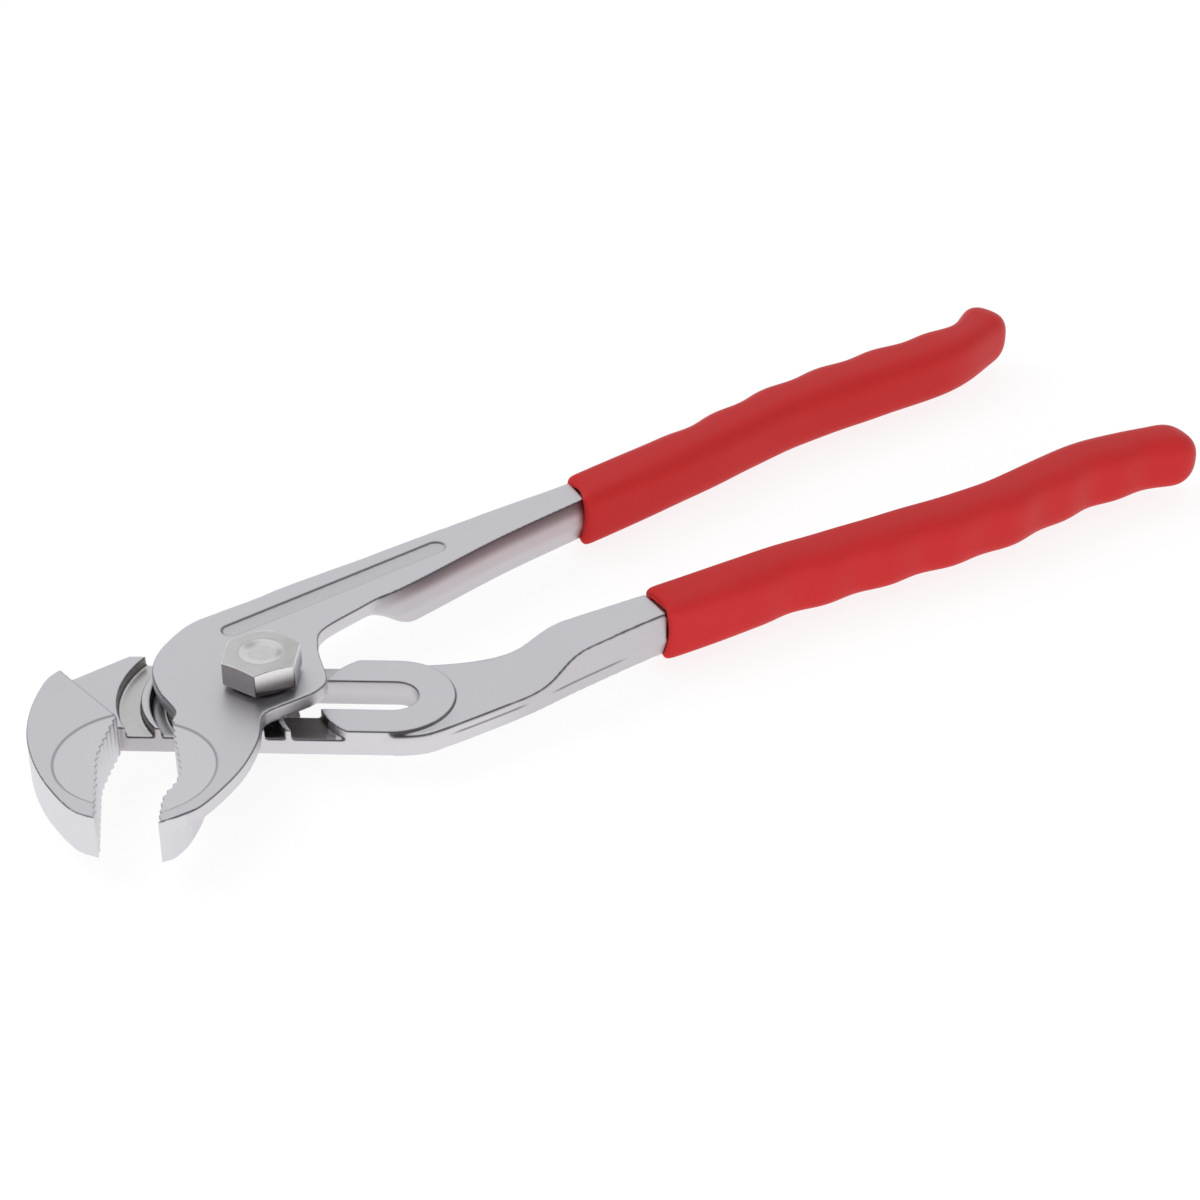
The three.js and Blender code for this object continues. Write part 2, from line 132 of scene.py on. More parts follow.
def vary(tree, source, low, high):
    node = new_node(tree, "ShaderNodeMapRange", {"To Min": low, "To Max": high})
    join(tree, source, node.inputs["Value"])
    return node.outputs["Result"]


def tint(tree, source, first, second):
    node = new_node(tree, "ShaderNodeMix", data_type="RGBA")
    node.inputs[6].default_value = (*first, 1)
    node.inputs[7].default_value = (*second, 1)
    join(tree, source, node.inputs["Factor"])
    return node.outputs[2]


def roughen(tree, shader, height, strength, distance):
    bump = new_node(tree, "ShaderNodeBump", {"Strength": strength, "Distance": distance})
    join(tree, height, bump.inputs["Height"])
    join(tree, bump.outputs["Normal"], shader.inputs["Normal"])


# %% [markdown]
# Plated, ground and moulded surfaces all show two things: broad soft patches, where the finish is a
# little duller, and a fine grain. Both come from noise on Object coordinates, in metres, so they keep
# their real size. They sit in one node group, and each material gives it its own sizes.

# %% Shared grain
grain_group = bpy.data.node_groups.new("patches_and_grain", "ShaderNodeTree")
for socket in ("Patch Scale", "Grain Scale"):
    grain_group.interface.new_socket(socket, in_out="INPUT", socket_type="NodeSocketFloat")
for socket in ("Patches", "Grain"):
    grain_group.interface.new_socket(socket, in_out="OUTPUT", socket_type="NodeSocketFloat")
grain_in = new_node(grain_group, "NodeGroupInput")
grain_out = new_node(grain_group, "NodeGroupOutput")
grain_place = new_node(grain_group, "ShaderNodeTexCoord")
for scale, output, detail in (("Patch Scale", "Patches", 3), ("Grain Scale", "Grain", 2)):
    noise = new_node(grain_group, "ShaderNodeTexNoise", {"Detail": detail, "Roughness": 0.55})
    join(grain_group, grain_place.outputs["Object"], noise.inputs["Vector"])
    join(grain_group, grain_in.outputs[scale], noise.inputs["Scale"])
    join(grain_group, noise.outputs["Fac"], grain_out.inputs[output])


def grained(tree, patch_mm, grain_mm):
    group = new_node(tree, "ShaderNodeGroup", node_tree=grain_group)
    group.inputs["Patch Scale"].default_value = 1000 / patch_mm
    group.inputs["Grain Scale"].default_value = 1000 / grain_mm
    return group.outputs["Patches"], group.outputs["Grain"]


print("node group:", grain_group.name)

# %% [markdown]
# Light and shade are painted into the hard pieces' colour. Rounded edges, steps and creases get a painted
# dark line, and walls a painted warm shade: a long shank wall is painted darker and warmer under its top
# edge, as a dark reflection. Each hard piece carries two vertex attributes that say how far, one for the
# painted dark and one for the painted warm shade. This group mixes them into the colour it is given.

# %% Shared painted edge shade and warm shade
painted_shade_group = bpy.data.node_groups.new("painted_edge_and_warm_shade", "ShaderNodeTree")
painted_shade_group.interface.new_socket("Color", in_out="INPUT", socket_type="NodeSocketColor")
painted_shade_group.interface.new_socket("Color", in_out="OUTPUT", socket_type="NodeSocketColor")
edge_in = new_node(painted_shade_group, "NodeGroupInput")
edge_out = new_node(painted_shade_group, "NodeGroupOutput")
shaded_color = edge_in.outputs["Color"]
# painted light: a warm mauve for painted warm shade and reflection, a near black for painted dark edges,
# lines and shadows
for attribute, color in (("painted_warm_shade", (0.34, 0.27, 0.285, 1)), ("edge", (0.12, 0.11, 0.115, 1))):
    amount = new_node(painted_shade_group, "ShaderNodeAttribute", attribute_name=attribute)
    shade = new_node(painted_shade_group, "ShaderNodeMix", data_type="RGBA")
    shade.inputs[7].default_value = color
    join(painted_shade_group, amount.outputs["Fac"], shade.inputs["Factor"])
    join(painted_shade_group, shaded_color, shade.inputs[6])
    shaded_color = shade.outputs[2]
join(painted_shade_group, shaded_color, edge_out.inputs["Color"])


# mixes the painted shade into a material's colour
def with_painted_shade(tree, color):
    group = new_node(tree, "ShaderNodeGroup", node_tree=painted_shade_group)
    join(tree, color, group.inputs["Color"])
    return group.outputs["Color"]


print("node group:", painted_shade_group.name)

# %% [markdown]
# The levers are satin chrome over a forging. Chrome is a metal with hardly any colour of its own: what
# shows is the room, softened by a fine roughness. The roughness drifts in patches, and a faint grain
# in the bump breaks the reflection as the blasted surface under the plating does.

# %% Satin chrome
chrome, tree, shader = new_material("satin_chrome", {"Metallic": 1.0})
patches, grain = grained(tree, 7, 0.35)
plate = tint(tree, patches, (0.725, 0.72, 0.75), (0.775, 0.77, 0.80))
join(tree, with_painted_shade(tree, plate), shader.inputs["Base Color"])
join(tree, vary(tree, patches, 0.38, 0.5), shader.inputs["Roughness"])
roughen(tree, shader, grain, 0.05, 0.00004)
print("material:", chrome.name)

# %% [markdown]
# Each jaw has a round flat ground into its face after forging. It is brighter than the rest, and its
# grinding marks run in circles about the centre of the cutter, so rings of a Wave texture make them.
# A Mapping node puts the rings' centre where the cutter stood.

# %% Ground faces


def ground_material(name, centre):
    material, tree, shader = new_material(name, {"Metallic": 1.0})
    patches, _ = grained(tree, 5, 0.2)
    place = new_node(tree, "ShaderNodeTexCoord")
    shift = new_node(tree, "ShaderNodeMapping", {"Location": -centre})
    rings = new_node(
        tree,
        "ShaderNodeTexWave",
        {"Scale": 900, "Distortion": 3, "Detail": 2, "Detail Scale": 2},
        wave_type="RINGS",
        rings_direction="Z",
    )
    join(tree, place.outputs["Object"], shift.inputs["Vector"])
    join(tree, shift.outputs["Vector"], rings.inputs["Vector"])
    plate = tint(tree, patches, (0.76, 0.76, 0.785), (0.81, 0.81, 0.83))
    join(tree, with_painted_shade(tree, plate), shader.inputs["Base Color"])
    join(tree, vary(tree, patches, 0.36, 0.48), shader.inputs["Roughness"])
    roughen(tree, shader, rings.outputs["Fac"], 0.1, 0.00002)
    return material


rear_ground = ground_material("ground_rear_face", row(*REAR_FACE_AT, FACE_LEVEL))
front_ground = ground_material("ground_front_face", row(*FRONT_FACE_AT, FACE_LEVEL))
print("materials:", rear_ground.name, front_ground.name)

# %% [markdown]
# The grooves are milled. Their floors are a little duller than the outside, and their walls are a
# brown-grey painted shade, which the floors and slot walls under the front plate get too. The shank's
# sunk panel keeps the stippled skin of the forging die.

# %% Milled grooves with painted groove shade, and die-struck panel


def dull_material(name, first, second, rough, patch_mm, bump):
    material, tree, shader = new_material(name, {"Metallic": 1.0})
    patches, grain = grained(tree, patch_mm, 0.25)
    join(tree, with_painted_shade(tree, tint(tree, patches, first, second)), shader.inputs["Base Color"])
    join(tree, vary(tree, patches, *rough), shader.inputs["Roughness"])
    roughen(tree, shader, grain, bump, 0.00005)
    return material


groove_floor = dull_material(
    "groove_floor", (0.62, 0.615, 0.61), (0.74, 0.735, 0.73), rough=(0.26, 0.38), patch_mm=2.5, bump=0.12
)
# brown-grey painted shade for groove walls, and for the floors and slot walls in the front plate's shade
groove_painted_shade = dull_material(
    "groove_painted_shade", (0.20, 0.185, 0.175), (0.33, 0.31, 0.30), rough=(0.3, 0.45), patch_mm=1.5, bump=0.2
)
stippled = dull_material(
    "stippled_panel", (0.66, 0.66, 0.675), (0.75, 0.75, 0.765), rough=(0.38, 0.5), patch_mm=1.4, bump=0.3
)
print("materials:", groove_floor.name, groove_painted_shade.name, stippled.name)

# %% [markdown]
# The bolt, its washer and its nut are bright-drawn steel under a thin, smooth plating. Their roughness
# is lower than the levers', so the head's flats show light and dark in clear steps.

# %% Bolt steel
bolt_steel, tree, shader = new_material("plated_bolt_steel", {"Metallic": 1.0})
patches, grain = grained(tree, 3, 0.25)
plate = tint(tree, patches, (0.74, 0.73, 0.725), (0.94, 0.93, 0.925))
join(tree, with_painted_shade(tree, plate), shader.inputs["Base Color"])
join(tree, vary(tree, patches, 0.1, 0.24), shader.inputs["Roughness"])
roughen(tree, shader, grain, 0.12, 0.00005)
print("material:", bolt_steel.name)

# %% [markdown]
# The sleeves are dipped in soft red plastic. It has a satin sheen, the red drifts a little in tone,
# and the skin has a very fine orange peel from the way the dip sets.

# %% Red sleeve plastic
red_plastic, tree, shader = new_material("red_dipped_plastic", {"IOR": 1.4, "Specular IOR Level": 0.16})
patches, grain = grained(tree, 16, 0.7)
red = tint(tree, patches, (0.525, 0.0235, 0.025), (0.565, 0.0275, 0.0285))
join(tree, red, shader.inputs["Base Color"])
join(tree, vary(tree, patches, 0.36, 0.48), shader.inputs["Roughness"])
roughen(tree, shader, grain, 0.15, 0.00005)
print("material:", red_plastic.name)

# %% [markdown]
# The forgings' shapes are already right in the solids, but every edge there is razor sharp, and a
# plated forging has none: the metal flows round its edges and fills its corners. Bevels on a mesh with
# this many cuts would collide, so each hard piece is a merged copy of its node, remeshed into small
# even quads and relaxed. A relaxed edge is a rounded edge, and a relaxed corner is a fillet. The
# number of passes says how far: few on teeth and shallow steps, many along the shanks.

# %% Rounded copies of the hard nodes


def merged_copy(node):
    bm = bmesh.new()
    bm.from_mesh(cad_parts[node].data)
    bmesh.ops.remove_doubles(bm, verts=bm.verts, dist=0.01 * MM)
    return bm


def mesh_from(bm, name):
    mesh = bpy.data.meshes.new(name)
    bm.to_mesh(mesh)
    bm.free()
    for leftover in ("custom_normal", "UVMap"):
        if leftover in mesh.attributes:
            mesh.attributes.remove(mesh.attributes[leftover])
    return mesh


def small_quads(bm, name, size):
    holder = bpy.data.objects.new(name, mesh_from(bm, name))
    bpy.context.scene.collection.objects.link(holder)
    remesh = holder.modifiers.new("small quads", "REMESH")
    remesh.mode = "VOXEL"
    remesh.voxel_size = size
    depsgraph = bpy.context.evaluated_depsgraph_get()
    fine = bmesh.new()
    fine.from_mesh(holder.evaluated_get(depsgraph).to_mesh())
    bpy.data.objects.remove(holder)
    return fine


def relax(verts, bm, passes):
    for _ in range(passes):
        bmesh.ops.smooth_vert(
            bm, verts=verts, factor=0.5, use_axis_x=True, use_axis_y=True, use_axis_z=True
        )


def ease(value, start, end):
    t = max(0, min(1, (value - start) / (end - start)))
    return t * t * (3 - 2 * t)


def swell(x, middle, spread):
    return math.exp(-(((x - middle) / spread) ** 2))


def shade_points(bm, edge_tone, warm_shade_tone):
    edge = bm.verts.layers.float.new("edge")
    painted_warm_shade = bm.verts.layers.float.new("painted_warm_shade")
    bm.normal_update()
    for v in bm.verts:
        point = plan(v.co)
        normal = TO_PLAN @ v.normal
        v[edge] = edge_tone(point, normal)
        v[painted_warm_shade] = warm_shade_tone(point, normal)


def hard_piece(name, bm, materials, keep):
    for face in bm.faces:
        face.smooth = True
    count = len(bm.faces)
    mesh = mesh_from(bm, name)
    for material in materials:
        mesh.materials.append(material)
    piece = bpy.data.objects.new(name, mesh)
    bpy.context.scene.collection.objects.link(piece)
    thin = piece.modifiers.new("fewer faces", "DECIMATE")
    thin.ratio = keep
    print(name, count, "faces, of which", keep, "are kept")
    return piece


# %% [markdown]
# A lever's tang runs on inside its sleeve, where nobody sees it, so only its first stretch is kept and
# the cut is closed. Points are sorted by where they lie on the plan: toothed edges and shallow steps
# are relaxed a little, all the rest as far as plating would.

# %% Relaxing a lever
LEVER_VOXEL = 0.26 * MM
STUB = 12  # length of tang kept inside the sleeve
ROUND_PASSES = 10
STEP_PASSES = 3
TOOTH_PASSES = 2
RAMP_PASSES = 40
RIM_ROOM = 1.2  # either side of a ground flat's rim
UPPER_PART = 9  # heights above this are on a lever's upper part
LEVEL = 0.9  # least upward share of a level face's normal

FRONT_HANDLE = {
    "angle": 42,  # degrees from the slot's line
    "side": 1,
    "offset": 17.6,  # pivot to the sleeve's line
    "mouth": 110,  # pivot to the sleeve's mouth, along the handle
    "length": 157.8,
    "shank": (4.9, 6.1),  # sleeve's line to the shank's inner and outer side
    "bows": ((2, 74, 26), (-4, 136, 24)),  # how far each bow goes out, its middle and its spread
    "dip": 43,  # mouth to the first finger dip
    "skew": 17,  # degrees by which the mouth slants
    "lip": 0.25,  # shift of the mouth along the handle
    "belly": 1.2,  # swell of the inner side
    "thumb": 3.8,  # flare of the outer side at the end
    "tuck": 2.4,  # narrowing of the inner side at the end
}
REAR_HANDLE = {
    "angle": 32,
    "side": -1,
    "offset": 20.2,
    "mouth": 95,
    "length": 166.9,
    "shank": (7.3, 4.9),
    "bows": ((-1, 34, 18), (1.2, 97, 21), (-3.6, 136, 24)),
    "dip": 37,
    "skew": -3.5,
    "lip": 0.95,
    "belly": 0,
    "thumb": 1.2,
    "tuck": 0,
}


def along_handle(handle, point):
    turned = Matrix.Rotation(math.radians(-handle["angle"]), 2) @ point.xy
    return turned.x, turned.y * handle["side"]


def cut_tang(bm, handle):
    angle = math.radians(handle["angle"])
    way = Vector((math.cos(angle), math.sin(angle), 0))
    far = way * (handle["mouth"] + STUB)
    geom = bm.verts[:] + bm.edges[:] + bm.faces[:]
    bmesh.ops.bisect_plane(
        bm, geom=geom, plane_co=row(far.x, far.y, 0), plane_no=PLAN_TURN @ way, clear_outer=True
    )
    bmesh.ops.holes_fill(bm, edges=[e for e in bm.edges if e.is_boundary])


def relax_lever(bm, toothed, stepped):
    teeth, steps, rest = [], [], []
    for v in bm.verts:
        point = plan(v.co)
        group = teeth if toothed(point) else steps if stepped(point) else rest
        group.append(v)
    relax(rest, bm, ROUND_PASSES)
    relax(steps, bm, STEP_PASSES)
    relax(teeth, bm, TOOTH_PASSES)
    print("points on teeth, steps and the rest:", len(teeth), len(steps), len(rest))


def on_rim(point, centre):
    return point.z > UPPER_PART and abs((point.xy - centre).length - FACE_R) < RIM_ROOM


def level_ramp(bm, handle, first, last):
    verts = []
    for v in bm.verts:
        along, _ = along_handle(handle, plan(v.co))
        if v.normal.z > 0.8 and first < along < last:
            verts.append(v)
    for _ in range(RAMP_PASSES):
        bmesh.ops.smooth_vert(bm, verts=verts, factor=0.5, use_axis_z=True)


print("tangs are cut", STUB, "mm inside the sleeves")

# %% [markdown]
# The painted dark lines are tones from 0 to 1, worked out from where a point lies and which way it faces.
# An edge gets painted shade where the surface turns from the top to the wall, and a painted line of shade
# along a step, such as the rim of a ground flat, is dark close to its path. Teeth catch the light, so
# their edges are paler.

# %% Tones of painted edge shade and painted lines
TOP_PART = 10  # heights above this are on a lever's top
EDGE_DARK = 0.9
EDGE_TURN = (0.86, 0.66)  # upward share of the normal where the dark begins and is full
WALL_TURN = (0.14, 0.34)  # the same on the way down to the wall
TOOTH_PALE = 0.35
LINE_HALF = (0.1, 0.42)  # distance where a line is full and where it ends
RIM_DARK = 0.5


def within(value, limits):
    return limits[0] < value < limits[1]


# painted shade where a rounded edge turns from the top to the wall
def rounded_edge_shade(normal, pale):
    tone = EDGE_DARK * ease(normal.z, *EDGE_TURN) * ease(normal.z, *WALL_TURN)
    return tone * TOOTH_PALE if pale else tone


def painted_line_tone(distance):
    return 1 - ease(abs(distance), *LINE_HALF)


def rim_painted_line(point, centre):
    return RIM_DARK * painted_line_tone((point.xy - centre).length - FACE_R)


print("a line is", 2 * LINE_HALF[1], "mm wide")

# %% [markdown]
# The rear lever carries the near jaw, the grooved and slotted plate, and the shank of the lower
# handle. Faces get their finish by where they lie: the ground flat on the jaw by its height, the
# milled grooves by being sunk into the plate, and the groove walls, with the slot walls and groove
# floors that lie under the front plate, a painted shade.

# %% Rear lever
REAR_TEETH_X = (-36, -27)
REAR_TEETH_Y = -15.5
REAR_RAMP = (48, 80)  # along the handle, the rise from the low stretch to the sleeve
GROOVES_X = (-36, 16)
GROOVES_Y = 14.2
GROOVE_Z = (GROOVE_FLOOR - 0.1, PLATE_TOP - 0.25)
FAR_WALL_Y = 9
BRIGHT_X = -8  # grooves up to here are open to the light
SHADE_X = (-8, 18)  # near ends of the grooves that lie under the front plate
SHADE_Y = -6
SLOT_X = (-13, 38)
SLOT_SHADE_X = 13
SLOT_RIM = 6.4
SLOT_WALL = 5.8
NEAR_WALL_X = (-33, -14)  # plate's near wall between the jaws
NEAR_WALL_Y = (-16.5, -13)
STEP_FROM = Vector((-31.3, -15.8))  # step from the jaw down to the plate
STEP_WAY = Vector((-16.6, 18.4)).normalized()
STEP_END_Y = -17
CREASES = ((31, 35, 50, 54), (59, 63, 78, 84))  # along the parting line, fading in and out
CREASE_OUT = 16
PLAIN, GROUND, FLOOR, PAINTED_SHADE = range(4)


def rear_teeth(point):
    return within(point.x, REAR_TEETH_X) and point.y < REAR_TEETH_Y


def in_grooves(point):
    return within(point.z, GROOVE_Z) and abs(point.y) < GROOVES_Y and within(point.x, GROOVES_X)


# groove walls, and slot walls and groove floors under the front plate, get the painted groove shade
def rear_finish_and_shade(face):
    centre = plan(face.calc_center_median())
    level = face.normal.z > LEVEL
    if level and abs(centre.z - FACE_LEVEL) < 0.15 and (centre.xy - REAR_FACE_AT).length < FACE_R:
        return GROUND
    far_wall = centre.y > FAR_WALL_Y and (TO_PLAN @ face.normal).y > 0.5
    if far_wall or not in_grooves(centre):
        return PLAIN
    if abs(centre.y) < SLOT_RIM and centre.x > SLOT_X[0]:
        return PAINTED_SHADE if centre.x < SLOT_SHADE_X else FLOOR
    if centre.x > BRIGHT_X and centre.y > 0:
        return FLOOR
    return FLOOR if level and centre.x < BRIGHT_X else PAINTED_SHADE


# painted dark: shaded edges, a painted line along the step from jaw to plate, a painted shadow on the
# grooves' near ends under the front plate, and a painted dark line along the parting crease
def rear_painted_dark(point, normal):
    edge = rounded_edge_shade(normal, rear_teeth(point) and normal.x > 0)
    if point.z > TOP_PART:
        beside = (point.xy - STEP_FROM).cross(STEP_WAY) + 0.15
        step = 0.7 * painted_line_tone(beside) if point.y > STEP_END_Y else 0
        return max(edge, rim_painted_line(point, REAR_FACE_AT), step)
    low = GROOVE_FLOOR - 0.2 < point.z < GROOVE_Z[1]
    if normal.z > 0.5 and low and point.y < SHADE_Y and within(point.x, SHADE_X):
        return 0.7
    along, out = along_handle(REAR_HANDLE, point)
    if abs(normal.z) > 0.3 or out < CREASE_OUT:
        return edge
    stretch = sum(ease(along, a, b) * (1 - ease(along, c, d)) for a, b, c, d in CREASES)
    return max(edge, 0.75 * painted_line_tone(point.z - PARTING) * stretch)


# painted warm shade: on the plate's near wall between the jaws, on the slot's walls darker towards the
# bottom, and along the shank's wall as a painted dark reflection
def rear_painted_warm_shade(point, normal):
    if abs(normal.z) > 0.5:
        return 0
    if point.z < PLATE_TOP and within(point.x, NEAR_WALL_X) and within(point.y, NEAR_WALL_Y):
        return 0.45
    if point.z < PLATE_TOP and within(point.x, SLOT_X) and abs(point.y) < SLOT_WALL:
        return 0.12 + 0.25 * ease(point.z, 4, 1)
    along, _ = along_handle(REAR_HANDLE, point)
    return 0.03 + 0.09 * ease(point.x, -20, -5) + 0.2 * ease(along, 40, 56)


bm = merged_copy("rear_lever")
cut_tang(bm, REAR_HANDLE)
bm = small_quads(bm, "rear_lever_quads", LEVER_VOXEL)
relax_lever(bm, rear_teeth, lambda point: on_rim(point, REAR_FACE_AT))
bm.normal_update()
level_ramp(bm, REAR_HANDLE, *REAR_RAMP)
shade_points(bm, rear_painted_dark, rear_painted_warm_shade)
for face in bm.faces:
    face.material_index = rear_finish_and_shade(face)
rear_finishes_and_shade = (chrome, rear_ground, groove_floor, groove_painted_shade)
rear_lever = hard_piece("rear_lever_chrome", bm, rear_finishes_and_shade, 0.46)
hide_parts("rear_lever")
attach(rear_lever, "rear_half")

# %% [markdown]
# The front lever crosses over it: the far jaw, the round plate that the bolt clamps, and the upper
# shank with its sunk panel. The panel is bare.

# %% Front lever
FRONT_TEETH_X = (-20.5, -12.5)
FRONT_TEETH_Y = -17
PANEL_FROM = 6  # along the handle
PANEL_TO = 65.5
PANEL_OUT = 21.5
PANEL_HALF = 2.5
PANEL_TILT = math.tan(math.radians(1.7))
PANEL_ROOM = ((0, 72), (16, 27))  # stretch round the panel, along and out
MID_OUT = 19  # between the shank's two walls
JOINT_X = (-36, 0)  # underside of the round plate
JOINT_Y = -16
JAW_X = -10
PANEL = 2


def front_teeth(point):
    return within(point.x, FRONT_TEETH_X) and point.y < FRONT_TEETH_Y


def near_panel(point):
    along, out = along_handle(FRONT_HANDLE, point)
    return point.z > 9.5 and within(along, PANEL_ROOM[0]) and within(out, PANEL_ROOM[1])


def front_finish(face):
    centre = plan(face.calc_center_median())
    sunk = PANEL_LEVEL - 0.15 <= centre.z <= FACE_LEVEL + 0.15
    if face.normal.z < LEVEL or not sunk:
        return PLAIN
    if (centre.xy - FRONT_FACE_AT).length < FACE_R:
        return GROUND
    return PANEL if near_panel(centre) else PLAIN


def panel_painted_line(along, out):
    across = out - PANEL_OUT + (along - PANEL_FROM) * PANEL_TILT
    beyond = max(PANEL_FROM - along, along - PANEL_TO, 0)
    side = 0.25 + 0.6 * ease(across, -1.5, 1)
    return painted_line_tone(math.hypot(beyond, across) - PANEL_HALF) * side


# painted dark: shaded edges, a painted dark reflection under the shank's top edge, and painted lines
# round the ground flat and the panel
def front_painted_dark(point, normal):
    along, out = along_handle(FRONT_HANDLE, point)
    edge = rounded_edge_shade(normal, front_teeth(point) and normal.x < 0)
    wall = 0
    if abs(normal.z) < 0.6 and out < MID_OUT:
        wall = 0.7 * ease(point.z, 7.4, 10.6) * ease(along, 36, 56)
    if point.z < TOP_PART:
        return max(edge, wall)
    panel = panel_painted_line(along, out) if near_panel(point) else 0
    return max(edge, wall, rim_painted_line(point, FRONT_FACE_AT), panel)


# painted warm shade: a painted shadow under the round plate, and a painted warm reflection along the
# shank's walls
def front_painted_warm_shade(point, normal):
    if abs(normal.z) > 0.6:
        return 0
    if point.z < PLATE_TOP + 0.6 and within(point.x, JOINT_X) and point.y > JOINT_Y:
        return 0.7
    if point.x < JAW_X:
        return 0.03
    along, out = along_handle(FRONT_HANDLE, point)
    if out > MID_OUT:
        return 0.12
    band = ease(point.z, 5.2, 9.2) * ease(along, 32, 56)
    return max(0.12 + 0.2 * ease(along, 36, 52), 0.95 * band)


bm = merged_copy("front_lever")
cut_tang(bm, FRONT_HANDLE)
bm = small_quads(bm, "front_lever_quads", LEVER_VOXEL)
relax_lever(bm, front_teeth, lambda point: on_rim(point, FRONT_FACE_AT) or near_panel(point))
shade_points(bm, front_painted_dark, front_painted_warm_shade)
for face in bm.faces:
    face.material_index = front_finish(face)
front_lever = hard_piece("front_lever_chrome", bm, (chrome, front_ground, stippled), 0.5)
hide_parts("front_lever")
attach(front_lever, "front_half")

# %% [markdown]
# The bolt set: a hex head with a turned chamfer and a shallow dish, and below the plates a washer and
# a thin lock nut. They are remeshed more finely than the levers, so their edges stay tight. The dish is
# made shallower than the solid's, or it would show a hard dark curve. The head's light and shade are
# painted by its sides: the flats to the camera's left get an even, warm painted shade, those to the right
# a painted shade that darkens downwards, the collar under the hex a painted dark shadow, and the dish a
# painted darker rim, a painted line and two soft painted dark reflections.

# %% Bolt, washer and nut
BOLT_SET = (
    ("pivot_bolt", "pivot_bolt_plated"),
    ("slot_washer", "slot_washer_plated"),
    ("lock_nut", "lock_nut_plated"),
)
BOLT_VOXEL = 0.16 * MM
BOLT_PASSES = 4
HEX_LOW = 12.3
HEX_HIGH = 18.7
DISH_R = 5.4
DISH_FLOOR_R = 3.2
DISH_KEPT = 0.55  # share of the solid's depth
# where the dish's two painted dark reflections lie
PAINTED_SPOT_TURNS = (math.radians(135), math.radians(-2))
PAINTED_SPOT_R = 4.2
PAINTED_SPOT_SPREAD = 1.1
CAMERA_RIGHT = TO_PLAN @ LOOK.cross(Vector((0, 0, 1))).normalized()


# painted shade on the hex flats: even on the camera's left, darker downwards on the right, and a painted
# dark shadow on the collar under the hex
def flat_tone(point, normal):
    fall = ease(point.z, HEX_HIGH - 0.6, HEX_LOW + 1.6)
    right = ease(normal @ CAMERA_RIGHT, -0.2, 0.2)
    tone = (0.42 + 0.1 * fall) * (1 - right) + (0.1 + 0.9 * fall) * right
    below = 0.9 - 0.9 * ease(point.z, HEX_LOW - 0.1, HEX_LOW + 0.3)
    return max(tone * ease(normal.z, 0.4, 0.15), below)


# painted shade on the head's top: a darker rim and dish floor, two painted dark reflections and a painted
# line round the dish
def dish_tone(point, normal):
    far = point.xy.length
    right = ease(point.xy @ CAMERA_RIGHT.xy, 1, 7)
    top = (0.22 + 0.1 * right) * ease(far, DISH_R - 0.2, DISH_R + 0.2) * ease(normal.z, 0.85, 0.97)
    floor = 0.12 * ease(far, DISH_FLOOR_R + 0.3, DISH_FLOOR_R - 0.3)
    turn = math.atan2(point.y, point.x)
    band = 0.42 * swell(far, PAINTED_SPOT_R, PAINTED_SPOT_SPREAD)
    painted_spots = sum(band * math.exp((math.cos(turn - spot) - 1) / 0.1) for spot in PAINTED_SPOT_TURNS)
    return max(top, floor, painted_spots, 0.3 * painted_line_tone(far - DISH_R))


# washer and nut get painted shade on their edges
def bolt_painted_dark(point, normal):
    if point.z < LEVER_THICKNESS:
        return 0.35 * ease(abs(normal.z), 0.8, 0.3)
    return flat_tone(point, normal) if normal.z < 0.4 else dish_tone(point, normal)


# painted warm shade on the flats to the camera's left
def bolt_painted_warm_shade(point, normal):
    left = ease(normal @ CAMERA_RIGHT, 0.2, -0.2)
    return 0.5 * left * ease(normal.z, 0.4, 0.15) * ease(point.z, LEVER_THICKNESS, HEX_LOW)


def lift_dish(bm):
    for v in bm.verts:
        point = plan(v.co)
        depth = HEX_HIGH - point.z
        if 0 < depth < 2 and point.xy.length < DISH_R + 0.6:
            v.co.z += (1 - DISH_KEPT) * depth * MM


for node, name in BOLT_SET:
    bm = small_quads(merged_copy(node), name + "_quads", BOLT_VOXEL)
    relax(bm.verts[:], bm, BOLT_PASSES)
    lift_dish(bm)
    shade_points(bm, bolt_painted_dark, bolt_painted_warm_shade)
    piece = hard_piece(name, bm, (bolt_steel,), 0.5)
    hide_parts(node)
    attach(piece, "pivot")

# %% [markdown]
# A sleeve is a long rounded box that follows the handle's bow, with finger dips along its outer side,
# a lip at the mouth whose corners reach forward, and a thumb-like end. It is made by starting from a
# circle and extruding its edge again and again: every new ring is laid on its own section, so the
# whole skin, lip and hollow are one tube of quads, and a Subdivision modifier smooths it.

# %% Sleeve sizes, as in the plan
OUTER_HALF = 6.4  # sleeve's line to its outer side
INNER_HALF = 7.5
HALF_HEIGHT = 7.6
DIP_DEPTH = 1.1
DIP_PITCH = 19
TANG_TIP = 8  # tang's end to the sleeve's end
TANG_ROOM = (4.25, 5.15)  # half width and half height of the hollow
LIP_RISE = 5.72  # half height of the mouth
LIP_ROOM = 0.02
BELLY_AT = 104
BELLY_SPREAD = 28
DRAFT = math.tan(math.radians(8))


def bow(handle, x):
    return sum(out * swell(x, middle, spread) for out, middle, spread in handle["bows"])


def sleeve_point(handle, along, out, up):
    slope = math.atan(bow(handle, along + 0.5) - bow(handle, along - 0.5))
    u = handle["mouth"] + along - out * math.sin(slope)
    v = handle["offset"] + bow(handle, along) + out * math.cos(slope)
    turn = Matrix.Rotation(math.radians(handle["angle"]), 2)
    x, y = turn @ Vector((u, v * handle["side"]))
    return row(x, y, LEVER_THICKNESS / 2 + up)


